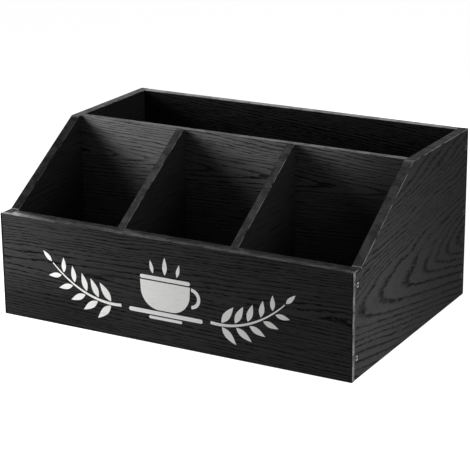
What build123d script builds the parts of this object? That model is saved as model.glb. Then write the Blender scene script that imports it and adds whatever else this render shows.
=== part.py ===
"""Countertop organizer of thin boards: a low front, sloping sides, three front bays and a rear bay.

Millimetres, +Z up, +X to the right as seen from the front, and the front faces -Y.
The origin is at the middle of the footprint, on the surface that the organizer stands on.
"""
from build123d import *
import os

# Overall size
width = 350.0
depth = 243.0
height = 160.0
front_height = 96.0

# Board thicknesses
side_thickness = 9.0
back_thickness = 9.0
fascia_thickness = 5.0
front_board_thickness = 10.0
divider_thickness = 7.5
bottom_thickness = 5.0

# Bays and the sloping edge
bay_count = 3
slope_foot_margin = 1.5
slope_crest_margin = 2.5
bottom_lift = 6.0

# Housings: tongues of one board in grooves of the next, stopped below the edges that show
groove_depth = 3.0
groove_play = 0.1
groove_stop = 12.0

# Eased corners of the painted boards
face_ease = 0.8
edge_ease = 0.5

# Countersunk cross-head screws
screw_length = 25.0
screw_radius = 1.5
screw_tip = 3.0
head_radius = 3.0
head_rim = 0.3
head_sink = 0.15
countersink_angle = 90.0
recess_length = 3.4
recess_width = 0.8
recess_depth = 1.1
screw_play = 0.1
low_screw_height = 19.0
front_screw_drop = 13.0
rear_screw_drop = 17.0

# Places across the depth, front to back
front_y = -depth / 2
front_board_y = front_y + fascia_thickness
bay_front_y = front_board_y + front_board_thickness
back_y = depth / 2
bay_back_y = back_y - back_thickness
bay_depth = (bay_back_y - bay_front_y - divider_thickness) / 2
partition_front_y = bay_front_y + bay_depth
partition_back_y = partition_front_y + divider_thickness
slope_foot_y = bay_front_y + slope_foot_margin
slope_crest_y = partition_front_y - slope_crest_margin

# Places across the width and up the height
side_inner_x = width / 2 - side_thickness
clear_width = 2 * side_inner_x
bay_width = (clear_width - (bay_count - 1) * divider_thickness) / bay_count
divider_places = [
    -side_inner_x + bay * (bay_width + divider_thickness) - divider_thickness / 2
    for bay in range(1, bay_count)
]
floor_z = bottom_lift + bottom_thickness
slope_axis = Axis(
    (0, slope_foot_y, front_height),
    (0, slope_crest_y - slope_foot_y, height - front_height),
)
front_housing_z = front_height - groove_stop
housing_z = height - groove_stop
tongue_length = groove_depth - groove_play

# Screw heads taper at the countersink's angle of a quarter turn
head_depth = head_rim + head_radius - screw_radius
sink_mouth_radius = head_radius + head_rim + head_sink + screw_play

# Screw places as (y, z), in the middle of the board that each row holds
front_screw_y = front_board_y + front_board_thickness / 2
rear_screw_y = back_y - back_thickness / 2
high_rear_screw_height = height - rear_screw_drop
front_screw_places = [
    (front_screw_y, low_screw_height),
    (front_screw_y, front_height - front_screw_drop),
]
rear_screw_places = [
    (rear_screw_y, low_screw_height),
    (rear_screw_y, (low_screw_height + high_rear_screw_height) / 2),
    (rear_screw_y, high_rear_screw_height),
]


def facing_out(side, distance, place):
    """Plane at a screw place, with its normal away from the middle: side is 1 right, -1 left."""
    y, z = place
    return Plane(origin=(side * distance, y, z), x_dir=(0, 1, 0), z_dir=(side, 0, 0))


def groove(plane, centre_x, low_z, high_z, across, sink):
    """Cut a groove with play all round into the part at hand, sink deep behind the plane."""
    with BuildSketch(plane) as mouth:
        with Locations((centre_x, (low_z + high_z) / 2)):
            Rectangle(across + 2 * groove_play, high_z - low_z + 2 * groove_play)
    extrude(mouth.sketch, amount=sink, mode=Mode.SUBTRACT)


# Right side board, with housings for the partition and the bottom in its inner face
with BuildPart() as side_right:
    with BuildSketch(Plane.YZ.offset(side_inner_x)):
        with BuildLine():
            Polyline(
                (front_board_y, 0),
                (back_y, 0),
                (back_y, height),
                (slope_crest_y, height),
                (slope_foot_y, front_height),
                (front_board_y, front_height),
                close=True,
            )
        make_face()
    extrude(amount=side_thickness)
    side_faces = side_right.faces().filter_by(Axis.X).sort_by(Axis.X)
    joint_edges = side_right.faces().sort_by(Axis.Y)[0].edges()
    fillet([edge for edge in side_faces[-1].edges() if edge not in joint_edges], face_ease)
    side_faces = side_right.faces().filter_by(Axis.X).sort_by(Axis.X)
    joint_edges = side_right.faces().sort_by(Axis.Y)[0].edges()
    fillet([edge for edge in side_faces[0].edges() if edge not in joint_edges], edge_ease)
    inner_plane = Plane.YZ.offset(side_inner_x)
    partition_y = (partition_front_y + partition_back_y) / 2
    groove(inner_plane, partition_y, floor_z, housing_z, divider_thickness, groove_depth)
    bottom_y = (bay_front_y + bay_back_y) / 2
    bottom_reach = bay_back_y - bay_front_y + 2 * tongue_length
    groove(inner_plane, bottom_y, bottom_lift, floor_z, bottom_reach, groove_depth)
    for place in front_screw_places + rear_screw_places:
        with Locations(facing_out(1, width / 2, place)):
            CounterSinkHole(
                screw_radius + screw_play,
                sink_mouth_radius,
                side_thickness,
                countersink_angle,
            )
side_right.part.label = "side_right"

# Left side board, the mirror image of the right one
with BuildPart() as side_left:
    mirror(side_right.part, about=Plane.YZ)
side_left.part.label = "side_left"

# Fascia over the whole front, with eased edges round its face
with BuildPart() as fascia:
    with BuildSketch(Plane.XZ.offset(-front_board_y)):
        Rectangle(width, front_height, align=(Align.CENTER, Align.MIN))
    extrude(amount=fascia_thickness)
    fillet(fascia.faces().sort_by(Axis.Y)[0].edges(), face_ease)
fascia.part.label = "fascia"

# Front board between the sides, with housings for the bottom and the dividers in its back
with BuildPart() as front_board:
    with BuildSketch(Plane.XZ.offset(-bay_front_y)):
        Rectangle(clear_width, front_height, align=(Align.CENTER, Align.MIN))
    extrude(amount=front_board_thickness)
    top_edges = front_board.faces().sort_by(Axis.Z)[-1].edges()
    fillet(top_edges.filter_by(Axis.X).sort_by(Axis.Y)[-1], edge_ease)
    back_plane = Plane.XZ.offset(-bay_front_y)
    groove(back_plane, 0, bottom_lift, floor_z, clear_width, groove_depth)
    for divider_x in divider_places:
        groove(back_plane, divider_x, floor_z, front_housing_z, divider_thickness, groove_depth)
    for side in (-1, 1):
        for place in front_screw_places:
            with Locations(facing_out(side, side_inner_x, place)):
                Hole(screw_radius + screw_play, screw_length - side_thickness)
front_board.part.label = "front_board"

# Back panel between the sides, with the housing for the bottom in its front
with BuildPart() as back_panel:
    with BuildSketch(Plane.XZ.offset(-back_y)):
        Rectangle(clear_width, height, align=(Align.CENTER, Align.MIN))
    extrude(amount=back_thickness)
    fillet(back_panel.faces().sort_by(Axis.Z)[-1].edges().filter_by(Axis.X), edge_ease)
    groove(Plane.XZ.offset(-bay_back_y), 0, bottom_lift, floor_z, clear_width, -groove_depth)
    for side in (-1, 1):
        for place in rear_screw_places:
            with Locations(facing_out(side, side_inner_x, place)):
                Hole(screw_radius + screw_play, screw_length - side_thickness)
back_panel.part.label = "back_panel"

# Bottom, held in housings all round
with BuildPart() as bottom_panel:
    with BuildSketch(Plane.XY.offset(bottom_lift)):
        with Locations((0, bottom_y)):
            Rectangle(clear_width + 2 * tongue_length, bottom_reach)
    extrude(amount=bottom_thickness)
bottom_panel.part.label = "bottom_panel"

# Partition behind the front bays: its ends are tongues, notched below the top edge
with BuildPart() as partition:
    with BuildSketch(Plane.XZ.offset(-partition_back_y)):
        with BuildLine() as partition_half:
            Polyline(
                (0, floor_z),
                (side_inner_x + tongue_length, floor_z),
                (side_inner_x + tongue_length, housing_z),
                (side_inner_x, housing_z),
                (side_inner_x, height),
                (0, height),
            )
            mirror(about=Plane.YZ)
        make_face()
    extrude(amount=divider_thickness)
    fillet(partition.faces().sort_by(Axis.Z)[-1].edges().filter_by(Axis.X), edge_ease)
    for divider_x in divider_places:
        divider_plane = Plane.XZ.offset(-partition_front_y)
        groove(divider_plane, divider_x, floor_z, housing_z, divider_thickness, -groove_depth)
partition.part.label = "partition"


def divider(centre_x):
    """Sloping divider between two front bays, with a tongue at each end."""
    with BuildPart() as board:
        with BuildSketch(Plane.YZ.offset(centre_x - divider_thickness / 2)):
            with BuildLine():
                Polyline(
                    (bay_front_y - tongue_length, floor_z),
                    (partition_front_y + tongue_length, floor_z),
                    (partition_front_y + tongue_length, housing_z),
                    (partition_front_y, housing_z),
                    (partition_front_y, height - edge_ease),
                    (slope_crest_y, height - edge_ease),
                    (slope_foot_y, front_height - edge_ease),
                    (bay_front_y, front_height - edge_ease),
                    (bay_front_y, front_housing_z),
                    (bay_front_y - tongue_length, front_housing_z),
                    close=True,
                )
            make_face()
        extrude(amount=divider_thickness)
        fillet(board.edges().filter_by(slope_axis), edge_ease)
    return board


divider_left = divider(divider_places[0])
divider_left.part.label = "divider_left"
divider_right = divider(divider_places[-1])
divider_right.part.label = "divider_right"

# One screw at the origin, its head up
with BuildPart() as screw:
    with BuildSketch(Plane.XZ):
        with BuildLine():
            Polyline(
                (0, 0),
                (head_radius, 0),
                (head_radius, -head_rim),
                (screw_radius, -head_depth),
                (screw_radius, screw_tip - screw_length),
                (0, -screw_length),
                close=True,
            )
        make_face()
    revolve(axis=Axis.Z)
    with BuildSketch(Plane.XY):
        Rectangle(recess_length, recess_width)
        Rectangle(recess_width, recess_length)
    extrude(amount=-recess_depth, mode=Mode.SUBTRACT)


def screws(places):
    """The same screw at each place through both side boards, its head just below the face."""
    with BuildPart() as group:
        for side in (-1, 1):
            for place in places:
                with Locations(facing_out(side, width / 2 - head_sink, place)):
                    add(screw.part)
    return group


front_screws = screws(front_screw_places)
front_screws.part.label = "front_screws"
rear_screws = screws(rear_screw_places)
rear_screws.part.label = "rear_screws"

os.makedirs("parts", exist_ok=True)
for piece in (
    fascia,
    front_board,
    side_left,
    side_right,
    back_panel,
    bottom_panel,
    partition,
    divider_left,
    divider_right,
    front_screws,
    rear_screws,
):
    export_step(piece.part, f"parts/{piece.part.label}.step")
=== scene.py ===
"""Looks of a black oak countertop organizer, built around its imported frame.

Metres, in the frame's own axes: +Z up, the front faces -Y, and +X is to the right as seen from
the front. The origin is at the middle of the footprint, on the surface that it stands on.
Each sub-assembly is a class that holds its sizes and dresses or builds its own pieces.
"""

import logging
import math
from collections.abc import Callable, Sequence
from dataclasses import dataclass, replace
from enum import Enum

import bmesh
import bpy
from mathutils import Matrix, Vector
from mathutils.geometry import interpolate_bezier


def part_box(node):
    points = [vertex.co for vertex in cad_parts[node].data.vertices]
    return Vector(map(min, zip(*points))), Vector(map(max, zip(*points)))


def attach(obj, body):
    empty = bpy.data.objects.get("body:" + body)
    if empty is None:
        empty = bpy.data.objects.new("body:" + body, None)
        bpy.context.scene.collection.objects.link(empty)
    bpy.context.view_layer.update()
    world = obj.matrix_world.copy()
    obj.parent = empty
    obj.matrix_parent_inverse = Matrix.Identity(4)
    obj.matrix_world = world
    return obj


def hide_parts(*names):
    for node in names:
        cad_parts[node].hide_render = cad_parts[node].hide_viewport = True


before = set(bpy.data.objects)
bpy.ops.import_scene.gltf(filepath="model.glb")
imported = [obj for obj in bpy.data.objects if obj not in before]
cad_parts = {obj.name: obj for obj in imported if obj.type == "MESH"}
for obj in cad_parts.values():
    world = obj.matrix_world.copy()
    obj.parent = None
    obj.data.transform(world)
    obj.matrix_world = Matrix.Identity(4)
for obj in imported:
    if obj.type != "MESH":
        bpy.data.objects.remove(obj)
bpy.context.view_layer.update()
SIDE_LOW, SIDE_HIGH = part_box("side_right")
FRONT_LOW, FRONT_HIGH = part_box("front_board")

Colour = tuple[float, float, float]
Pair = tuple[float, float]
log = logging.getLogger("organizer")


class Channel:
    """One output of a shader tree. Arithmetic on it adds Math nodes to that tree."""

    def __init__(self, tree: "ShaderTree", socket: bpy.types.NodeSocket) -> None:
        """Wrap a socket.

        Args:
            tree: The tree that the socket belongs to.
            socket: The output socket.
        """
        self.tree = tree
        self.socket = socket

    def other(self, name: str) -> "Channel":
        """Another output of the same node, by name."""
        return Channel(self.tree, self.socket.node.outputs[name])

    def __add__(self, value: "Channel | float") -> "Channel":
        """Sum."""
        return self.tree.math("ADD", self, value)

    __radd__ = __add__

    def __sub__(self, value: "Channel | float") -> "Channel":
        """Difference."""
        return self.tree.math("SUBTRACT", self, value)

    def __rsub__(self, value: float) -> "Channel":
        """Difference with the number first."""
        return self.tree.math("SUBTRACT", value, self)

    def __mul__(self, value: "Channel | float") -> "Channel":
        """Product."""
        return self.tree.math("MULTIPLY", self, value)

    __rmul__ = __mul__

    def __truediv__(self, value: "Channel | float") -> "Channel":
        """Quotient."""
        return self.tree.math("DIVIDE", self, value)

    def __pow__(self, value: float) -> "Channel":
        """Power."""
        return self.tree.math("POWER", self, value)

    def fraction(self) -> "Channel":
        """Part after the decimal point."""
        return self.tree.math("FRACT", self)

    def size(self) -> "Channel":
        """Value without its sign."""
        return self.tree.math("ABSOLUTE", self)

    def sine(self) -> "Channel":
        """Sine of the value, in radians."""
        return self.tree.math("SINE", self)

    def least(self, value: "Channel | float") -> "Channel":
        """The smaller of the two."""
        return self.tree.math("MINIMUM", self, value)

    def most(self, value: "Channel | float") -> "Channel":
        """The larger of the two."""
        return self.tree.math("MAXIMUM", self, value)

    def step(self, start: float, end: float) -> "Channel":
        """Smooth rise from 0 at start to 1 at end, or a fall where end is the smaller.

        Args:
            start: Value that gives 0.
            end: Value that gives 1.

        Returns:
            The eased share between them.
        """
        settings = {"interpolation_type": "SMOOTHSTEP"}
        inputs = {"Value": self, "From Min": start, "From Max": end}
        if end < start:
            inputs |= {"From Min": end, "From Max": start, "To Min": 1.0, "To Max": 0.0}
        return self.tree.node("ShaderNodeMapRange", settings, inputs)

    def near(self, place: float, reach: Pair) -> "Channel":
        """1 near a place, falling to 0 between the two distances of reach."""
        return (self - place).size().step(reach[1], reach[0])


class ShaderTree:
    """Node tree of a material or of the world, emptied when it is wrapped."""

    def __init__(self, tree: bpy.types.NodeTree) -> None:
        """Empty the tree.

        Args:
            tree: The tree to build in.
        """
        self.tree = tree
        tree.nodes.clear()

    def node(
        self,
        kind: str,
        settings: dict[str, object] | None = None,
        inputs: dict[str | int, object] | None = None,
        output: str | int = 0,
    ) -> Channel:
        """Add a node, set it up and feed it.

        Args:
            kind: The node's type.
            settings: The node's own options, which are set first.
            inputs: A number, colour, vector or Channel for each input, by name or place.
            output: The output that is wanted.

        Returns:
            That output.
        """
        made = self.tree.nodes.new(kind)
        for name, value in (settings or {}).items():
            setattr(made, name, value)
        for name, value in (inputs or {}).items():
            if isinstance(value, Channel):
                self.tree.links.new(value.socket, made.inputs[name])
            else:
                made.inputs[name].default_value = value
        return Channel(self, made.outputs[output] if made.outputs else None)

    def math(self, operation: str, *values: "Channel | float") -> Channel:
        """Math node.

        Args:
            operation: Its operation.
            *values: What goes into its sockets, in order.

        Returns:
            The result.
        """
        return self.node("ShaderNodeMath", {"operation": operation}, dict(enumerate(values)))

    def vector(self, operation: str, *values: object) -> Channel:
        """Vector Math node.

        Args:
            operation: Its operation.
            *values: What goes into its sockets, in order.

        Returns:
            The resulting vector.
        """
        return self.node("ShaderNodeVectorMath", {"operation": operation}, dict(enumerate(values)))

    def parts(self, vector: Channel) -> tuple[Channel, ...]:
        """X, Y and Z of a vector."""
        split = self.node("ShaderNodeSeparateXYZ", {}, {0: vector})
        return tuple(split.other(axis) for axis in "XYZ")

    def blend(self, share: "Channel | float", first: object, second: object) -> Channel:
        """Colour between two colours.

        Args:
            share: 0 gives the first colour and 1 the second.
            first: A colour or a Channel.
            second: A colour or a Channel.

        Returns:
            The mixed colour.
        """
        inputs = {"Factor": share, 6: opaque(first), 7: opaque(second)}
        return self.node("ShaderNodeMix", {"data_type": "RGBA"}, inputs, 2)

    def noise(self, place: Channel, grain: Vector, detail: float = 2.0) -> Channel:
        """Noise with grains of a given size.

        Args:
            place: Where to read it, in metres.
            grain: Size of a grain along X, Y and Z, in metres.
            detail: How many finer layers it has.

        Returns:
            Noise from 0 to 1, mostly near a half.
        """
        stretched = self.vector("MULTIPLY", place, [1 / length for length in grain])
        return self.node(
            "ShaderNodeTexNoise", {}, {"Vector": stretched, "Scale": 1.0, "Detail": detail}
        )

    def relief(self, depth: float, height: Channel) -> Channel:
        """Normal of a relief with a depth in metres, from its height between 0 and 1."""
        return self.node("ShaderNodeBump", {}, {"Distance": depth, "Height": height})

    def surface(self, inputs: dict[str, object]) -> None:
        """End a material's tree with a Principled surface."""
        surface = self.node("ShaderNodeBsdfPrincipled", {}, inputs)
        self.node("ShaderNodeOutputMaterial", {}, {"Surface": surface})


def grey(level: float) -> Colour:
    """A grey of one level."""
    return (level, level, level)


def opaque(colour: object) -> object:
    """A colour with full alpha, or the Channel as it is."""
    return colour if isinstance(colour, Channel) else (*colour, 1.0)


def start_material(name: str) -> tuple[bpy.types.Material, ShaderTree]:
    """Start a material.

    Args:
        name: Its name.

    Returns:
        The material and its emptied tree.
    """
    material = bpy.data.materials.new(name)
    material.use_nodes = True
    return material, ShaderTree(material.node_tree)


class Grain(Enum):
    """How a board is cut: the axes along its grain, across it, and through its thickness."""

    ALONG_WIDTH = (0, 2, 1)
    ALONG_DEPTH = (1, 2, 0)
    LEVEL = (0, 1, 2)

    def sizes(self, along: float, across: float) -> Vector:
        """Grain size along X, Y and Z.

        Args:
            along: Size along the grain, in metres.
            across: Size across it and through it, in metres.

        Returns:
            The three sizes.
        """
        grain = Vector((across, across, across))
        grain[self.value[0]] = along
        return grain


@dataclass(frozen=True)
class ScrewRow:
    """A row of screws one above the other through each side. Metres."""

    depth_place: float
    lowest: float
    pitch: float

    @classmethod
    def read(cls, node: str, count: int) -> "ScrewRow":
        """Work a row out from the box of its CAD node.

        Args:
            node: The node's name.
            count: How many of its screws stand one above the other.

        Returns:
            The row.
        """
        low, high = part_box(node)
        head_radius = (high.y - low.y) / 2
        pitch = (high.z - low.z - 2 * head_radius) / (count - 1)
        return cls((low.y + high.y) / 2, low.z + head_radius, pitch)

    def above(self, height: Channel) -> Channel:
        """Height above or below the nearest screw, at a height."""
        level = (height - self.lowest) / self.pitch + 0.5
        return (level.fraction() - 0.5).size() * self.pitch

    def away(self, depth: Channel, height: Channel) -> Channel:
        """Distance from the nearest screw's axis, at a place across the depth and a height."""
        return ((depth - self.depth_place) ** 2.0 + self.above(height) ** 2.0) ** 0.5


SCREW_ROWS = (ScrewRow.read("front_screws", 2), ScrewRow.read("rear_screws", 3))


class Spot:
    """The point that is being shaded, and where it lies on the organizer."""

    softness: float = 0.0005

    def __init__(self, tree: ShaderTree) -> None:
        """Start a material's tree with the point's place.

        Args:
            tree: The material's tree.
        """
        self.tree = tree
        self.place = tree.node("ShaderNodeTexCoord", output="Object")
        self.across, self.depth, self.height = tree.parts(self.place)

    def from_screws(self) -> Channel:
        """Distance from the axis of the nearest screw of either row."""
        front, rear = (row.away(self.depth, self.height) for row in SCREW_ROWS)
        return front.least(rear)

    def from_slots(self) -> Channel:
        """Height above or below the nearest screw, at whose middle the cross has its level slot.

        Returns:
            The distance.
        """
        behind = self.depth.step(-self.softness, self.softness)
        front, rear = (row.above(self.height) for row in SCREW_ROWS)
        return front * (1.0 - behind) + rear * behind

    def in_sides(self, past: float = 0.0) -> Channel:
        """1 in the side boards, or from some way past their inner faces, and 0 elsewhere."""
        start = SIDE_LOW.x + past
        return self.across.size().step(start - self.softness, start)


class BoardSpot(Spot):
    """The point that is being shaded on a board, with its place in the grain and its zones.

    The zones are masks: sunk in the countersinks, edge on the painted edges and in the
    countersinks, and rounded on the arrises. Edges and arrises are told by the normal's part
    through the board, which is 1 on the face and 0 on an edge: each pair is where a zone has not
    begun, and where it is whole.
    """

    sink_reach: Pair = (0.0036, 0.0039)
    sink_start: float = 0.004
    off_face: Pair = (0.75, 0.45)
    arris_from_edge: Pair = (0.25, 0.4)
    arris_from_face: Pair = (0.97, 0.9)

    def __init__(self, tree: ShaderTree, grain: Grain, seed: float) -> None:
        """Start a board's tree.

        Args:
            tree: The material's tree.
            grain: How the board is cut.
            seed: What moves the board's noises away from those of the others.
        """
        super().__init__(tree)
        self.grain = grain
        self.moved = tree.vector("ADD", self.place, (seed, seed * 0.7, seed * 0.4))
        normal = tree.parts(tree.node("ShaderNodeNewGeometry", output="True Normal"))
        self.rightward, self.backward, self.upward = normal
        self.facing = normal[grain.value[2]].size()
        self.sunk = self.from_screws().near(0.0, self.sink_reach) * self.in_sides(self.sink_start)
        self.edge = self.facing.step(*self.off_face).most(self.sunk)
        rounded = self.facing.step(*self.arris_from_edge) * self.facing.step(*self.arris_from_face)
        self.rounded = rounded * (1.0 - self.sunk)

    def streaks(self, size: Pair, detail: float = 2.0) -> Channel:
        """Noise drawn out along the grain: the length and width of its marks, and its detail."""
        return self.tree.noise(self.moved, self.grain.sizes(*size), detail)

    def grains(self, size: float, detail: float) -> Channel:
        """Noise with marks of one size all ways, and its detail."""
        return self.tree.noise(self.moved, Vector((size, size, size)), detail)


@dataclass(frozen=True)
class OakFigure:
    """How the growth rings run on a board: the log's heart is a line behind the face. Metres.

    The heart is a height, or a place across a level board, and rises along the grain. The taper
    narrows the rings along it, which closes them to arches, and the lean moves them through the
    board. Crowded rings come once in a crowd's span. Wander and raggedness are how far the rings
    sway and how far their edges are torn, and sway, ripple and tooth are the length and width of
    those marks. Band is the dark share of a ring. The uneven values make wide and narrow rings,
    the faint ones paler rings between, and the seed moves the noises away from other boards'.
    """

    heart: float = 0.05
    rise: float = 0.0
    depth: float = 0.006
    taper: float = 0.0
    lean: float = 0.05
    ring: float = 0.0035
    crowding: float = 0.0
    crowd_span: float = 0.1
    wander: float = 0.0012
    raggedness: float = 0.0012
    band: float = 0.45
    uneven: float = 0.35
    uneven_rate: float = 0.83
    faint_rate: float = 2.37
    faint: float = 0.4
    sway: Pair = (0.11, 0.028)
    ripple: Pair = (0.018, 0.005)
    tooth: Pair = (0.006, 0.0009)
    seed: float = 0.0

    def rings(self, spot: BoardSpot) -> Channel:
        """Growth rings as they come out on the board's face.

        Args:
            spot: The point on the board.

        Returns:
            1 at the start of a ring's dark early wood, falling to 0 in its late wood.
        """
        places = (spot.across, spot.depth, spot.height)
        along, across, through = (places[axis] for axis in spot.grain.value)
        sway = spot.streaks(self.sway) - 0.5
        ripple = spot.streaks(self.ripple) - 0.5
        drift = sway * (5 * self.wander) + ripple * self.wander
        from_heart = across - self.heart - along * self.rise + drift
        wave = 2 * math.pi / self.crowd_span
        crowd = (from_heart * wave).sine() * (self.crowding / wave)
        spread = (from_heart - crowd).most(from_heart * -1.0)
        behind = through * self.lean + self.depth
        reach = (spread ** 2.0 + behind ** 2.0) ** 0.5 - along * self.taper
        torn = (spot.streaks(self.tooth) - 0.5) * self.raggedness
        turns = (reach + drift * 0.5 + torn) / self.ring
        turns = turns + (turns * self.uneven_rate).sine() * self.uneven
        phase = turns.fraction()
        strong = phase.step(self.band, 0.10) * phase.step(0.0, 0.08)
        phase = (turns * self.faint_rate + 0.4).fraction()
        return strong.most(phase.step(0.5, 0.0) * phase.step(0.0, 0.1) * self.faint)


class Veneer:
    """The marks on a board's face: rings and pores, fibres, and clouds in the stain."""

    pore_size: Pair = (0.009, 0.0006)
    fibre_size: Pair = (0.03, 0.0009)
    cloud_size: Pair = (0.12, 0.03)

    def __init__(self, spot: BoardSpot, figure: OakFigure, figuring: float) -> None:
        """Work the marks out.

        Args:
            spot: The point on the board.
            figure: How the growth rings run.
            figuring: How dark rings and pores are, from 0 to 1.
        """
        rings = figure.rings(spot)
        pores = (spot.streaks(self.pore_size) + rings * 0.18).step(0.54, 0.66)
        self.fibres = spot.streaks(self.fibre_size, 3.0)
        self.cloud = spot.streaks(self.cloud_size)
        dark = (rings * (0.5 + pores * 0.5) + pores * 0.25) * figuring
        self.dark = dark * (0.45 + self.cloud.step(0.36, 0.56) * 0.55)


class RolledPaint:
    """Paint rolled on a board's edges, in specks and daubs, and a strip of painted highlight."""

    speck_size: float = 0.0017
    daub_size: float = 0.011
    strip_softness: float = 0.0004

    def __init__(self, spot: BoardSpot, highlight_strip_end: float) -> None:
        """Work the paint out.

        Args:
            spot: The point on the board.
            highlight_strip_end: Where a strip of painted highlight at the front ends, on Y.
        """
        self.grit = spot.grains(self.speck_size, 4.0)
        daubs = spot.grains(self.daub_size, 2.0)
        self.cover = self.grit.step(0.36, 0.64) * 0.5 + daubs.step(0.42, 0.56) * 0.5
        # The strip is a painted highlight along the front of the board's top.
        self.strip = spot.depth.step(highlight_strip_end + self.strip_softness, highlight_strip_end - self.strip_softness)


@dataclass(frozen=True)
class OakFinish:
    """Black stain on open-grained oak veneer, with rolled paint on the board's edges.

    Stain and figuring are the face's, and ring_stain is also the colour of the painted shade.
    Painted_end_shade darkens the face towards one end or corner, between two places on X and two
    on Z: painted shade. Thick_paint is the normal's upward part where the edges' paint starts to
    be thick, and where it is. The strip at the front, a painted highlight of lighter colour under a
    thicker coat, reaches from the front to highlight_strip_end on Y, which lies off the board where
    there is no strip. Painted_highlight is the colour of the painted highlights on the arrises that
    face the right and at the slope's two ends, foot and crest: each pair is the distance up to
    which it is whole, and the one at which it ends. The shade reaches are how far painted shade
    reaches in from the rear and from the left. Metres.
    """

    stain: Colour = grey(0.034)
    ring_stain: Colour = grey(0.006)
    edge_paint: Colour = grey(0.044)
    edge_dark: Colour = grey(0.014)
    # Colour and strength of the painted highlights on arrises, foot and crest.
    painted_highlight: Colour = grey(0.16)
    highlight_strength: float = 0.75
    figuring: float = 0.7
    roughness: float = 0.46
    specular: float = 0.006
    relief: float = 0.00012
    edge_coat: float = 0.7
    coat_roughness: float = 0.35
    coat_ior: float = 1.6
    thick_paint: Pair = (0.3, 0.7)
    highlight_strip_end: float = -1.0
    highlight_strip_colour: Colour = grey(0.12)
    strip_coat: float = 1.7
    highlight_patch_size: float = 0.012
    foot_margin: float = 0.0015
    foot_depth: Pair = (0.0004, 0.0009)
    foot_height: Pair = (0.0008, 0.0012)
    crest_place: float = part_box("partition")[0].y - 0.002
    crest_depth: Pair = (0.0012, 0.0034)
    crest_height: Pair = (0.0020, 0.0040)
    crest_highlight: float = 0.45
    # How far the painted shade reaches in from the rear and from the left.
    rear_shade_reach: float = 0.0026
    left_shade_reach: float = 0.0020
    # Painted shade towards one end or corner: its share, and its places on X and on Z.
    painted_end_shade: float = 0.0
    end_shade_across: Pair = (0.0, 0.1)
    end_shade_up: Pair = (1.0, 0.9)

    def dress(self, node: str, grain: Grain, figure: OakFigure) -> bpy.types.Material:
        """Make the material for one board.

        Args:
            node: The board's name, which the material takes.
            grain: How the board is cut.
            figure: How its growth rings run.

        Returns:
            The material.
        """
        material, tree = start_material(f"{node}_oak")
        spot = BoardSpot(tree, grain, figure.seed)
        veneer = Veneer(spot, figure, self.figuring)
        paint = RolledPaint(spot, self.highlight_strip_end)
        painted_highlights = self.painted_highlights(spot)
        painted_shade_lines = self.painted_shade_lines(spot)

        colour = tree.blend(spot.edge, self.face(spot, veneer), self.edge(tree, paint))
        # Painted shade: dark lines on upright and left-facing arrises, in countersinks, at rear and
        # left end.
        colour = tree.blend(painted_shade_lines, colour, self.ring_stain)
        # Painted highlight: a light colour and more coat on right-facing arrises and the slope's
        # ends.
        colour = tree.blend(painted_highlights, colour, self.painted_highlight)
        height = (1.0 - veneer.dark) * 0.8 + veneer.fibres * 0.35
        height = height * (1.0 - spot.edge) + paint.grit * spot.edge
        tree.surface(
            {
                "Base Color": colour,
                "Roughness": self.roughness + veneer.dark * 0.16 + (veneer.fibres - 0.5) * 0.2,
                "Specular IOR Level": self.specular,
                "Coat Weight": self.coat(spot, paint, painted_shade_lines).most(painted_highlights),
                "Coat Roughness": self.coat_roughness,
                "Coat IOR": self.coat_ior,
                "Normal": tree.relief(self.relief, height),
            }
        )
        return material

    def face(self, spot: BoardSpot, veneer: Veneer) -> Channel:
        """Colour of the board's face.

        Args:
            spot: The point on the board.
            veneer: Its marks.

        Returns:
            The colour.
        """
        tone = veneer.dark + (0.5 - veneer.fibres) * 1.5 + (0.5 - veneer.cloud) * 0.6
        colour = spot.tree.blend(tone.step(-0.05, 0.85), self.stain, self.ring_stain)
        # Painted shade: the face darkens towards the end or corner that the end shade's places set.
        end_shade_mask = spot.across.step(*self.end_shade_across) * spot.height.step(*self.end_shade_up)
        return spot.tree.blend(end_shade_mask * self.painted_end_shade, colour, self.ring_stain)

    def edge(self, tree: ShaderTree, paint: RolledPaint) -> Channel:
        """Colour of the board's painted edges, with the strip of painted highlight."""
        with_highlight = tree.blend(paint.strip, self.edge_paint, self.highlight_strip_colour)
        return tree.blend(paint.cover, self.edge_dark, with_highlight)

    def coat(self, spot: BoardSpot, paint: RolledPaint, painted_shade_lines: Channel) -> Channel:
        """How much the painted edges mirror: most where they lie level and the paint is thick.

        Args:
            spot: The point on the board.
            paint: The paint on its edges.
            painted_shade_lines: Where shade is painted, which stays matt.

        Returns:
            The coat's weight.
        """
        flat = spot.edge * (1.0 - painted_shade_lines) * (1.0 - spot.facing.step(0.08, 0.18))
        flat = flat * (0.3 + spot.upward.step(*self.thick_paint) * 0.7)
        thickness = paint.strip * (self.strip_coat - self.edge_coat) + self.edge_coat
        return flat * thickness * (0.45 + paint.cover * 0.7)

    def painted_highlights(self, spot: BoardSpot) -> Channel:
        """Painted highlights on the arrises that face the right, and at the slope's two ends.

        Args:
            spot: The point on the board.

        Returns:
            How strongly the highlight is painted at the point.
        """
        highlight_patches = spot.grains(self.highlight_patch_size, 3.0).step(0.38, 0.56)
        painted_highlight = spot.rounded * spot.rightward.step(0.25, 0.4) * spot.upward.step(0.05, 0.3)
        foot = spot.depth.near(FRONT_HIGH.y + self.foot_margin, self.foot_depth)
        foot = foot * spot.height.near(FRONT_HIGH.z, self.foot_height)
        crest = spot.depth.near(self.crest_place, self.crest_depth)
        crest = crest * spot.height.near(SIDE_HIGH.z, self.crest_height) * self.crest_highlight
        painted_highlights = (painted_highlight * highlight_patches).most(foot * spot.in_sides())
        return painted_highlights.most(crest * spot.in_sides() * spot.edge) * self.highlight_strength

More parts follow.
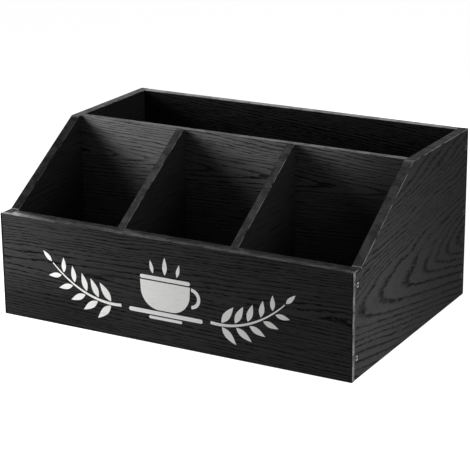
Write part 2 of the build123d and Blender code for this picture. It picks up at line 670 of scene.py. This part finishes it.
    def painted_shade_lines(self, spot: BoardSpot) -> Channel:
        """Painted shade: upright and left-facing arrises, countersinks, rear corners and left end.

        Args:
            spot: The point on the board.

        Returns:
            1 where it is dark, and 0 elsewhere.
        """
        # Arrises that stand upright or face the left are painted dark as shade.
        upright = spot.upward.size().step(0.3, 0.1).most(spot.rightward.step(-0.25, -0.4))
        end, soft = SIDE_HIGH.y - self.rear_shade_reach, spot.softness
        rear = spot.depth.step(end - soft, end + soft) * spot.rightward.size().step(0.1, 0.3)
        rear = rear.most(spot.backward.step(0.1, 0.3) * spot.backward.step(0.97, 0.93))
        end = self.left_shade_reach - SIDE_HIGH.x
        left = spot.across.step(end + soft, end - soft) * spot.backward.step(-0.5, -0.9)
        return (spot.rounded * upright).most(spot.sunk).most(rear).most(left)


@dataclass(frozen=True)
class SteelFinish:
    """Zinc-plated steel of the screw heads, dark on the rim, with painted shade in the level slot."""

    colour: Colour = (0.36, 0.36, 0.35)
    worn_colour: Colour = (0.20, 0.20, 0.195)
    # Dark colour of the rim, and of the painted shade in the cross's level slot.
    stain: Colour = grey(0.008)
    clean_radius: float = 0.0022
    clean_softness: float = 0.0002
    clean_wander: float = 0.0008
    slot_half: float = 0.0006
    slot_softness: float = 0.0001
    face_place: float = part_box("front_screws")[1].x
    face_reach: Pair = (0.00015, 0.00005)
    cloud_size: float = 0.0012
    scratch_size: Pair = (0.003, 0.0002)
    scratch_depth: float = 0.00003
    roughness: float = 0.30
    bare_metal: float = 1.0
    specular: float = 0.1

    def dress(self, node: str) -> bpy.types.Material:
        """Make the material for a group of screws.

        Args:
            node: The group's name, which the material takes.

        Returns:
            The material.
        """
        material, tree = start_material(f"{node}_steel")
        spot = Spot(tree)
        length, width = self.scratch_size
        cloud = tree.noise(spot.place, Vector((self.cloud_size,) * 3), 3.0)
        scratch = tree.noise(spot.place, Vector((length, width, length)))
        bare = self.bare(spot, cloud)
        plating = tree.blend(cloud.step(0.35, 0.7), self.colour, self.worn_colour)
        tree.surface(
            {
                # Painted shade in the cross's level slot, and a dark rim round the head's face.
                "Base Color": tree.blend(bare, self.stain, plating),
                "Metallic": bare * self.bare_metal,
                "Roughness": self.roughness + (scratch - 0.5) * 0.3 + (cloud - 0.5) * 0.2,
                "Specular IOR Level": self.specular,
                "Normal": tree.relief(self.scratch_depth, scratch),
            }
        )
        return material

    def bare(self, spot: Spot, cloud: Channel) -> Channel:
        """Bare plating: the middle of a head's face, without the level slot of painted shade.

        Args:
            spot: The point on the screws.
            cloud: Noise that makes the clean part's outline uneven.

        Returns:
            1 on bare plating, and 0 on the dark rim and the painted shade in the slot.
        """
        below, level = (self.face_place - reach for reach in self.face_reach)
        flush = spot.across.size().step(below, level)
        away = spot.from_screws() + (cloud - 0.5) * self.clean_wander
        soft = self.clean_softness
        clean = away.step(self.clean_radius + soft, self.clean_radius - soft)
        soft = self.slot_softness
        return clean * flush * spot.from_slots().step(self.slot_half - soft, self.slot_half + soft)


def repaint(node: str, material: bpy.types.Material) -> None:
    """Give a CAD node a material and report it.

    Args:
        node: The node's name.
        material: What it gets.
    """
    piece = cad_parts[node]
    if piece.material_slots:
        piece.material_slots[0].material = material
    else:
        piece.data.materials.append(material)
    log.info("%s: dressed with %s", node, material.name)


@dataclass(frozen=True)
class Board:
    """A CAD board: how it is cut, how its rings run and how it is finished."""

    node: str
    grain: Grain
    figure: OakFigure
    finish: OakFinish = OakFinish()

    def dress(self) -> None:
        """Give the board its finish."""
        repaint(self.node, self.finish.dress(self.node, self.grain, self.figure))


class Bench:
    """Steps of modelling by hand that several pieces share."""

    @staticmethod
    def deselect() -> None:
        """Leave nothing selected."""
        bpy.ops.object.select_all(action="DESELECT")

    @staticmethod
    def pick(piece: bpy.types.Object) -> None:
        """Select one object alone and make it the active one.

        Args:
            piece: The object.
        """
        Bench.deselect()
        piece.select_set(True)
        bpy.context.view_layer.objects.active = piece

    @staticmethod
    def add(
        primitive: Callable[..., object],
        scale: Sequence[float] = (1.0, 1.0, 1.0),
        **settings: object,
    ) -> bpy.types.Object:
        """Add a primitive with nothing else selected, and put its place and size into its shape.

        Args:
            primitive: The operator that adds it.
            scale: How much larger it becomes along X, Y and Z.
            **settings: The operator's settings.

        Returns:
            The new object.
        """
        Bench.deselect()
        primitive(**settings)
        piece = bpy.context.active_object
        piece.scale = scale
        bpy.ops.object.transform_apply(location=True, rotation=True, scale=True)
        return piece

    @staticmethod
    def finish(piece: bpy.types.Object, modifier: bpy.types.Modifier) -> None:
        """Apply a modifier to an object."""
        Bench.pick(piece)
        bpy.ops.object.modifier_apply(modifier=modifier.name)

    @staticmethod
    def join(pieces: list[bpy.types.Object], name: str) -> bpy.types.Object:
        """Make several objects one.

        Args:
            pieces: The objects.
            name: What the joined one is called.

        Returns:
            The joined object.
        """
        Bench.pick(pieces[0])
        for piece in pieces:
            piece.select_set(True)
        bpy.ops.object.join()
        joined = bpy.context.active_object
        joined.name = joined.data.name = name
        return joined

    @staticmethod
    def copy(piece: bpy.types.Object, place: Matrix) -> bpy.types.Object:
        """Copy an object with its own mesh, and move the copy's mesh.

        Args:
            piece: What is copied.
            place: Where the copy goes, from the original's place.

        Returns:
            The copy.
        """
        made = piece.copy()
        made.data = piece.data.copy()
        made.data.transform(place)
        if place.determinant() < 0:
            made.data.flip_normals()
        bpy.context.scene.collection.objects.link(made)
        return made

    @staticmethod
    def mend(piece: bpy.types.Object) -> None:
        """Merge doubled points and turn every face outwards.

        Args:
            piece: The object.
        """
        Bench.pick(piece)
        bpy.ops.object.mode_set(mode="EDIT")
        bpy.ops.mesh.select_all(action="SELECT")
        bpy.ops.mesh.remove_doubles(threshold=1e-6)
        bpy.ops.mesh.normals_make_consistent(inside=False)
        bpy.ops.object.mode_set(mode="OBJECT")


@dataclass(frozen=True)
class PaintFinish:
    """White paint, thin enough that the veneer's grain shows through a little."""

    colour: Colour = (0.93, 0.93, 0.92)
    thin: Colour = (0.76, 0.76, 0.75)
    streak_size: Pair = (0.012, 0.0008)
    cloud_size: Pair = (0.02, 0.01)
    relief: float = 0.00008
    roughness: float = 0.5
    specular: float = 0.3

    def dress(self, name: str) -> bpy.types.Material:
        """Make the material.

        Args:
            name: The piece's name, which the material takes.

        Returns:
            The material.
        """
        material, tree = start_material(f"{name}_paint")
        place = tree.node("ShaderNodeTexCoord", output="Object")
        streaks = tree.noise(place, Grain.ALONG_WIDTH.sizes(*self.streak_size), 3.0)
        cloud = tree.noise(place, Grain.ALONG_WIDTH.sizes(*self.cloud_size))
        thin = (streaks * 0.8 + cloud * 0.2).step(0.52, 0.74)
        colour = tree.blend(thin, self.colour, self.thin)
        tree.surface(
            {
                "Base Color": colour,
                "Roughness": self.roughness + thin * 0.2,
                "Specular IOR Level": self.specular,
                "Normal": tree.relief(self.relief, streaks),
            }
        )
        return material


@dataclass
class Ornament:
    """White painted ornament: a cup on its saucer between two leafy sprigs.

    It is drawn flat about its middle, +X to the right and +Y up, and then stood on the fascia.
    """

    middle: Pair = (-0.003, 0.046)
    thickness: float = 0.00025
    cup_width: float = 0.050
    cup_height: float = 0.026
    cup_foot: float = -0.014
    cup_taper: float = 0.94
    cup_corner: float = 0.017
    rim_height: float = 0.0035
    gap: float = 0.0012
    saucer_width: float = 0.074
    saucer_height: float = 0.0038
    foot_width: float = 0.0333
    foot_height: float = 0.00266
    handle_radius: float = 0.0095
    handle_bar: float = 0.0032
    handle_level: float = 0.62
    plumes: tuple[tuple[int, float], ...] = ((-1, 0.012), (0, 0.016), (1, 0.012))
    plume_spread: float = 0.012
    plume_lift: float = 0.004
    plume_lean: float = 0.22
    plume_fullness: float = 0.85
    stem_points: tuple[Pair, ...] = (
        (0.045, -0.016),
        (0.070, -0.019),
        (0.096, -0.008),
        (0.116, 0.012),
    )
    stem_width: float = 0.0028
    stem_taper: float = 0.65
    leaf_length: float = 0.0205
    leaf_belly: Pair = (0.42, 0.17)
    leaf_fullness: float = 0.24
    leaf_pairs: int = 5
    first_leaf: float = 0.12
    leaf_shrink: float = 0.40
    leaf_turns: Pair = (0.92, -0.80)
    finish: PaintFinish = PaintFinish()

    def leaf(self) -> bpy.types.Object:
        """Draw a leaf of unit length along +X from the origin, pointed at both ends.

        Returns:
            The leaf.
        """
        leaf = Bench.add(bpy.ops.curve.primitive_bezier_circle_add, radius=1.0)
        leaf.data.dimensions = "2D"
        leaf.data.fill_mode = "BOTH"
        leaf.data.resolution_u = 8
        belly, half = self.leaf_belly
        corners = ((0.0, 0.0), (belly, half), (1.0, 0.0), (belly, -half))
        for point, (along, across) in zip(leaf.data.splines[0].bezier_points, corners):
            point.handle_left_type = point.handle_right_type = "FREE"
            point.co = (along, across, 0.0)
            reach = Vector((math.copysign(self.leaf_fullness, across) if across else 0.0, 0.0, 0.0))
            point.handle_left = point.co - reach
            point.handle_right = point.co + reach
        bpy.ops.object.convert(target="MESH")
        return bpy.context.active_object

    def stem(self) -> bpy.types.Object:
        """Bend a tapering strip along the right sprig's line.

        Returns:
            The stem.
        """
        start, first, second, end = (Vector((*point, 0.0)) for point in self.stem_points)
        path = Bench.add(bpy.ops.curve.primitive_bezier_curve_add)
        path.data.dimensions = "2D"
        path.data.resolution_u = 48
        foot, tip = path.data.splines[0].bezier_points
        foot.co, foot.handle_right, foot.handle_left = start, first, start * 2 - first
        tip.co, tip.handle_left, tip.handle_right = end, second, end * 2 - second
        length = path.data.splines[0].calc_length()
        grid = {"x_subdivisions": 40, "y_subdivisions": 1, "size": 1.0}
        strip = Bench.add(bpy.ops.mesh.primitive_grid_add, **grid, location=(0.5, 0.0, 0.0))
        for vertex in strip.data.vertices:
            taper = 1.0 - self.stem_taper * vertex.co.x
            vertex.co.y = math.copysign(self.stem_width / 2 * taper, vertex.co.y)
            vertex.co.x *= length
        bend = strip.modifiers.new("bend", "CURVE")
        bend.object = path
        bend.deform_axis = "POS_X"
        Bench.finish(strip, bend)
        bpy.data.objects.remove(path)
        return strip

    def sprig(self) -> bpy.types.Object:
        """Set leaves on the right sprig's stem, in pairs that grow smaller to the tip.

        Returns:
            The sprig.
        """
        line = interpolate_bezier(*(Vector((*point, 0.0)) for point in self.stem_points), 101)
        leaf = self.leaf()
        pieces = [self.stem()]
        for pair in range(self.leaf_pairs + 1):
            share = self.first_leaf + (1.0 - self.first_leaf) * pair / self.leaf_pairs
            place = min(round(share * 100), 99)
            ahead = line[place + 1] - line[place]
            heading = math.atan2(ahead.y, ahead.x)
            length = self.leaf_length * (1.0 - self.leaf_shrink * share)
            turns = (0.0,) if pair == self.leaf_pairs else self.leaf_turns
            for turn in turns:
                angle = heading + turn
                clear = self.stem_width * 0.75 + self.gap * 0.5
                foot = line[place] + Vector((math.cos(angle), math.sin(angle), 0.0)) * clear
                spin = Matrix.Translation(foot) @ Matrix.Rotation(angle, 4, "Z")
                pieces.append(Bench.copy(leaf, spin @ Matrix.Scale(length, 4)))
        bpy.data.objects.remove(leaf)
        return Bench.join(pieces, "sprig")

    def cup(self) -> bpy.types.Object:
        """Draw the cup with its rim, handle and saucer, and the steam over it.

        Returns:
            The cup.
        """
        rim = self.cup_foot + self.cup_height + self.gap + self.rim_height / 2
        saucer = self.cup_foot - self.gap - self.saucer_height / 2
        foot = saucer - self.saucer_height / 2 - self.gap - self.foot_height / 2
        pieces = [self.bowl(), self.bar(self.cup_width, self.rim_height, rim), self.handle()]
        pieces.append(self.bar(self.saucer_width, self.saucer_height, saucer))
        pieces.append(self.bar(self.foot_width, self.foot_height, foot))
        return Bench.join(pieces + self.steam(rim + self.plume_lift), "cup")

    def steam(self, start: float) -> list[bpy.types.Object]:
        """Draw the plumes of steam, which lean away from the middle.

        Args:
            start: Height of their lower ends.

        Returns:
            The plumes.
        """
        leaf = self.leaf()
        plumes = []
        for side, length in self.plumes:
            foot = Matrix.Translation((side * self.plume_spread, start, 0.0))
            lean = Matrix.Rotation(math.pi / 2 - side * self.plume_lean, 4, "Z")
            size = Matrix.Diagonal((length, length * self.plume_fullness, 1.0, 1.0))
            plumes.append(Bench.copy(leaf, foot @ lean @ size))
        bpy.data.objects.remove(leaf)
        return plumes

    def plate(self, width: float, height: float, middle: float) -> bpy.types.Object:
        """Draw a rectangle.

        Args:
            width: Its width.
            height: Its height.
            middle: Height of its middle.

        Returns:
            The rectangle.
        """
        plane, scale = bpy.ops.mesh.primitive_plane_add, (width, height, 1.0)
        return Bench.add(plane, scale, size=1.0, location=(0.0, middle, 0.0))

    def bowl(self) -> bpy.types.Object:
        """Draw the cup's body: a plane with both lower corners rounded off.

        Returns:
            The body.
        """
        middle = self.cup_foot + self.cup_height / 2
        bowl = self.plate(self.cup_width, self.cup_height, middle)
        bpy.ops.object.mode_set(mode="EDIT")
        shape = bmesh.from_edit_mesh(bowl.data)
        for vertex in shape.verts:
            vertex.select = vertex.co.y < middle
        shape.select_flush_mode()
        bmesh.update_edit_mesh(bowl.data)
        bpy.ops.transform.resize(value=(self.cup_taper, 1.0, 1.0))
        bpy.ops.mesh.bevel(offset=self.cup_corner, segments=14, affect="VERTICES")
        bpy.ops.object.mode_set(mode="OBJECT")
        return bowl

    def bar(self, width: float, height: float, middle: float) -> bpy.types.Object:
        """Draw a level bar with round ends.

        Args:
            width: Its length.
            height: Its height.
            middle: Height of its middle.

        Returns:
            The bar.
        """
        bar = self.plate(width, height, middle)
        bpy.ops.object.mode_set(mode="EDIT")
        bpy.ops.mesh.select_all(action="SELECT")
        bpy.ops.mesh.bevel(offset=height * 0.49, segments=6, affect="VERTICES")
        bpy.ops.object.mode_set(mode="OBJECT")
        return bar

    def handle(self) -> bpy.types.Object:
        """Draw the cup's handle: a ring cut off beside the cup.

        Returns:
            The handle.
        """
        level = self.cup_foot + self.cup_height * self.handle_level
        place = (self.cup_width / 2 + self.gap * 0.5, level, 0.0)
        circle = {"vertices": 48, "radius": self.handle_radius, "fill_type": "NOTHING"}
        ring = Bench.add(bpy.ops.mesh.primitive_circle_add, **circle, location=place)
        bpy.ops.object.mode_set(mode="EDIT")
        bpy.ops.mesh.select_all(action="SELECT")
        shrink = 1.0 - self.handle_bar / self.handle_radius
        bpy.ops.mesh.extrude_region_move()
        bpy.ops.transform.resize(value=(shrink, shrink, 1.0), center_override=place)
        bpy.ops.mesh.select_all(action="SELECT")
        cut = (place[0] + self.gap * 0.5, 0.0, 0.0)
        bpy.ops.mesh.bisect(plane_co=cut, plane_no=(1.0, 0.0, 0.0), clear_inner=True)
        bpy.ops.object.mode_set(mode="OBJECT")
        return ring

    def stand(self, flat: bpy.types.Object, name: str, face: float) -> None:
        """Give a flat drawing its thickness, stand it on the fascia and paint it.

        Args:
            flat: The drawing.
            name: The piece's name.
            face: Where its front lies on Y.
        """
        Bench.mend(flat)
        for polygon in flat.data.polygons:
            if polygon.normal.z < 0:
                polygon.flip()
        thicken = flat.modifiers.new("thicken", "SOLIDIFY")
        thicken.thickness = self.thickness
        thicken.offset = -1.0
        Bench.finish(flat, thicken)
        across, up = self.middle
        turn = Matrix.Translation((across, face, up)) @ Matrix.Rotation(math.pi / 2, 4, "X")
        flat.data.transform(turn)
        Bench.mend(flat)
        flat.name = flat.data.name = name
        flat.data.materials.clear()
        flat.data.materials.append(self.finish.dress(name))
        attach(flat, "root")
        log.info("%s: %d faces", name, len(flat.data.polygons))

    def build(self, face: float) -> None:
        """Build the cup and both sprigs.

        Args:
            face: Where their front lies on Y.
        """
        self.stand(self.cup(), "ornament_cup", face)
        sprig = self.sprig()
        mirrored = Bench.copy(sprig, Matrix.Scale(-1.0, 4, Vector((1.0, 0.0, 0.0))))
        self.stand(sprig, "ornament_sprig_right", face)
        self.stand(mirrored, "ornament_sprig_left", face)


@dataclass
class Fascia:
    """The board over the whole front, set back by the paint that stands on it."""

    paint_proud: float = 0.00015
    rounding: float = 0.0008
    finish: OakFinish = OakFinish(
        stain=grey(0.041), figuring=0.83,
        edge_paint=grey(0.12), edge_coat=1.7, coat_roughness=0.23,
        # Painted shade, darker towards the lower left corner.
        painted_end_shade=0.5, end_shade_across=(0.0, -0.11), end_shade_up=(0.050, 0.016),
    )
    figure: OakFigure = OakFigure(
        heart=0.052, depth=0.009, taper=0.03, ring=0.0030, crowding=0.35, raggedness=0.0016, seed=0.3
    )

    def build(self) -> None:
        """Build the board with its eased front edges, and the ornament on it."""
        low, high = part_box("fascia")
        front = low.y
        low.y += self.paint_proud
        middle = (low + high) / 2
        board = Bench.add(bpy.ops.mesh.primitive_cube_add, high - low, size=1.0, location=middle)
        bpy.ops.object.mode_set(mode="EDIT")
        shape = bmesh.from_edit_mesh(board.data)
        for edge in shape.edges:
            edge.select = all(vertex.co.y < middle.y for vertex in edge.verts)
        shape.select_flush_mode()
        bmesh.update_edit_mesh(board.data)
        bpy.ops.mesh.bevel(offset=self.rounding, segments=4, affect="EDGES")
        bpy.ops.object.mode_set(mode="OBJECT")
        board.name = board.data.name = "fascia_board"
        board.data.materials.clear()
        board.data.materials.append(
            self.finish.dress("fascia_board", Grain.ALONG_WIDTH, self.figure)
        )
        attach(board, "root")
        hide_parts("fascia")
        log.info("%s: %d faces", board.name, len(board.data.polygons))
        Ornament().build(front)


@dataclass
class Casing:
    """The boards round the organizer: front board, sides, back panel and bottom."""

    boards: tuple[Board, ...] = (
        Board(
            "front_board",
            Grain.ALONG_WIDTH,
            OakFigure(heart=0.052, depth=0.009, taper=0.03, ring=0.0033, seed=0.8),
            # The strip along the front of its top is a painted highlight.
            OakFinish(edge_coat=1.0, coat_roughness=0.20, highlight_strip_end=FRONT_LOW.y + 0.003),
        ),
        Board(
            "side_right",
            Grain.ALONG_DEPTH,
            OakFigure(
                heart=0.056, depth=0.005, taper=0.16, ring=0.0054, crowding=0.45,
                wander=0.0022, raggedness=0.0032, band=0.60, seed=1.7,
            ),
            OakFinish(
                stain=grey(0.037), figuring=0.66, painted_highlight=grey(0.24),
                edge_paint=grey(0.095), edge_dark=grey(0.042), edge_coat=0.1,
            ),
        ),
        Board(
            "side_left",
            Grain.ALONG_DEPTH,
            OakFigure(heart=0.09, depth=0.008, taper=0.05, ring=0.0036, seed=2.9),
            # Its edge paint is near black, far darker than the other boards': painted shade on the
            # left slope.
            OakFinish(
                stain=grey(0.048), ring_stain=grey(0.012), figuring=0.5,
                edge_paint=grey(0.015), edge_dark=grey(0.003), edge_coat=0.5,
                thick_paint=(0.85, 0.99),
            ),
        ),
        Board(
            "back_panel",
            Grain.ALONG_WIDTH,
            OakFigure(
                heart=0.40, rise=-0.1, ring=0.0023, wander=0.0020, raggedness=0.0022,
                band=0.8, seed=4.1,
            ),
            # Darker stain than the other boards: painted shade for light that the back panel doesn't
            # get.
            OakFinish(
                stain=grey(0.026), ring_stain=grey(0.001), figuring=0.95,
                edge_paint=grey(0.09), edge_coat=1.15,
            ),
        ),
        Board("bottom_panel", Grain.LEVEL, OakFigure(heart=-0.3, ring=0.005, seed=5.3)),
    )

    def dress(self) -> None:
        """Give every board its finish."""
        for board in self.boards:
            board.dress()


@dataclass
class Bays:
    """The partition and the dividers that make the bays."""

    partition: Board = Board(
        "partition",
        Grain.ALONG_WIDTH,
        OakFigure(heart=0.127, taper=-0.06, ring=0.0027, raggedness=0.0009, seed=6.1),
        # Stain far lighter than the other boards': painted light standing in for the sheen on its
        # face.
        OakFinish(
            stain=grey(0.124), ring_stain=grey(0.020), figuring=0.95,
            # Painted shade, darker towards the right end.
            painted_end_shade=0.7, end_shade_across=(0.085, 0.155),
        ),
    )
    divider_seeds: tuple[tuple[str, float], ...] = (("divider_left", 7.0), ("divider_right", 8.0))
    divider_figure: OakFigure = OakFigure(heart=-0.2, ring=0.006)
    divider_finish: OakFinish = OakFinish(
        stain=grey(0.05), figuring=0.25, edge_coat=0.4, painted_highlight=grey(0.55), highlight_strength=0.95
    )

    def dress(self) -> None:
        """Give every board its finish."""
        self.partition.dress()
        for node, seed in self.divider_seeds:
            figure = replace(self.divider_figure, seed=seed)
            Board(node, Grain.ALONG_DEPTH, figure, self.divider_finish).dress()


@dataclass
class Screws:
    """The countersunk screws through the sides: bright at the front, darker at the rear as painted
    shade.
    """

    front_finish: SteelFinish = SteelFinish()
    # Darker copy of the front screws' finish: painted shade.
    rear_finish: SteelFinish = SteelFinish(
        colour=grey(0.05), worn_colour=grey(0.03), bare_metal=0.35, specular=0.02
    )

    def dress(self) -> None:
        """Give both groups of screws their finish."""
        repaint("front_screws", self.front_finish.dress("front_screws"))
        repaint("rear_screws", self.rear_finish.dress("rear_screws"))


@dataclass(frozen=True)
class Lamp:
    """A square soft lamp that looks at the object. Metres, and watts for its power."""

    name: str
    place: tuple[float, float, float]
    side: float
    power: float
    aim: tuple[float, float, float] = (0.0, 0.0, 0.08)

    def hang(self) -> None:
        """Put the lamp up. It isn't mirrored in gloss, where it would wash out the edges."""
        data = bpy.data.lights.new(self.name, "AREA")
        data.size = self.side
        data.energy = self.power
        lamp = bpy.data.objects.new(self.name, data)
        lamp.location = self.place
        lamp.visible_camera = lamp.visible_glossy = False
        back = Vector(self.place) - Vector(self.aim)
        lamp.rotation_euler = back.to_track_quat("Z", "Y").to_euler()
        bpy.context.scene.collection.objects.link(lamp)


@dataclass
class Studio:
    """Floor, lamps, surroundings and camera."""

    azimuth: float = math.radians(29.292)
    elevation: float = math.radians(17.980)
    roll: float = math.radians(-0.522)
    distance: float = 1.6055
    aim: tuple[float, float, float] = (-0.0026, -0.0041, 0.0730)
    lens: float = 134.93
    shift: Pair = (0.0074, -0.0123)
    floor_side: float = 8.0
    floor_gap: float = 0.0002
    floor_colour: Colour = grey(0.45)
    floor_lift: float = 0.955
    ambient: float = 0.075
    lamps: tuple[Lamp, ...] = (
        Lamp("key_lamp", (-0.60, -0.34, 0.24), 0.30, 3.5),
        Lamp("left_lamp", (-0.39, -0.22, 0.13), 0.10, 1.15),
        Lamp("fill_lamp", (0.60, -0.12, 0.30), 0.30, 0.50, (0.175, -0.08, 0.06)),
        Lamp("right_lamp", (0.33, -0.10, 0.05), 0.06, 0.23, (0.175, -0.08, 0.06)),
        Lamp("rear_lamp", (0.0, 0.85, 0.085), 0.14, 2.4, (0.0, 0.12, 0.08)),
    )

    def set_camera(self) -> None:
        """Put the camera at the photograph's angle."""
        data = bpy.data.cameras.new("camera")
        data.lens = self.lens
        data.shift_x, data.shift_y = self.shift
        data.clip_start = 0.05
        data.clip_end = 50.0
        camera = bpy.data.objects.new("camera", data)
        turn = Matrix.Rotation(self.azimuth, 4, "Z")
        turn = turn @ Matrix.Rotation(math.pi / 2 - self.elevation, 4, "X")
        back = turn @ Vector((0.0, 0.0, self.distance))
        turn = turn @ Matrix.Rotation(self.roll, 4, "Z")
        camera.matrix_world = Matrix.Translation(Vector(self.aim) + back) @ turn
        bpy.context.scene.collection.objects.link(camera)
        bpy.context.scene.camera = camera

    def seen(self, tree: ShaderTree) -> Channel:
        """1 for what the camera sees directly, in gloss or through glass, and otherwise 0.

        Args:
            tree: The tree of the world or of the floor.

        Returns:
            The mask.
        """
        path = tree.node("ShaderNodeLightPath", output="Is Camera Ray")
        return path.most(path.other("Is Glossy Ray")).most(path.other("Is Transmission Ray"))

    def set_surroundings(self) -> None:
        """White all round for the eye, and plain soft light for the object."""
        world = bpy.data.worlds.new("studio")
        bpy.context.scene.world = world
        world.use_nodes = True
        tree = ShaderTree(world.node_tree)
        strength = self.seen(tree) * (1.0 - self.ambient) + self.ambient
        surface = tree.node(
            "ShaderNodeBackground", {}, {"Color": (1.0, 1.0, 1.0, 1.0), "Strength": strength}
        )
        tree.node("ShaderNodeOutputWorld", {}, {"Surface": surface})

    def lay_floor(self) -> None:
        """Lay a pale floor that keeps the object's shadow."""
        place = (0.0, 0.0, -self.floor_gap)
        floor = Bench.add(bpy.ops.mesh.primitive_plane_add, size=self.floor_side, location=place)
        floor.name = "floor"
        material, tree = start_material("pale_floor")
        diffuse = tree.node("ShaderNodeBsdfDiffuse", {}, {"Color": opaque(self.floor_colour)})
        glow = tree.node("ShaderNodeEmission", {}, {"Strength": self.seen(tree) * self.floor_lift})
        both = tree.node("ShaderNodeAddShader", {}, {0: diffuse, 1: glow})
        tree.node("ShaderNodeOutputMaterial", {}, {"Surface": both})
        floor.data.materials.append(material)

    def build(self) -> None:
        """Build the whole studio."""
        self.set_camera()
        self.set_surroundings()
        self.lay_floor()
        for lamp in self.lamps:
            lamp.hang()
        bpy.context.scene.view_settings.view_transform = "Standard"


def main() -> None:
    """Build the studio and dress the pieces, in order."""
    logging.basicConfig(level=logging.INFO, format="%(name)s: %(message)s")
    Studio().build()
    Fascia().build()
    Casing().dress()
    Bays().dress()
    Screws().dress()


if __name__ == "__main__":
    main()
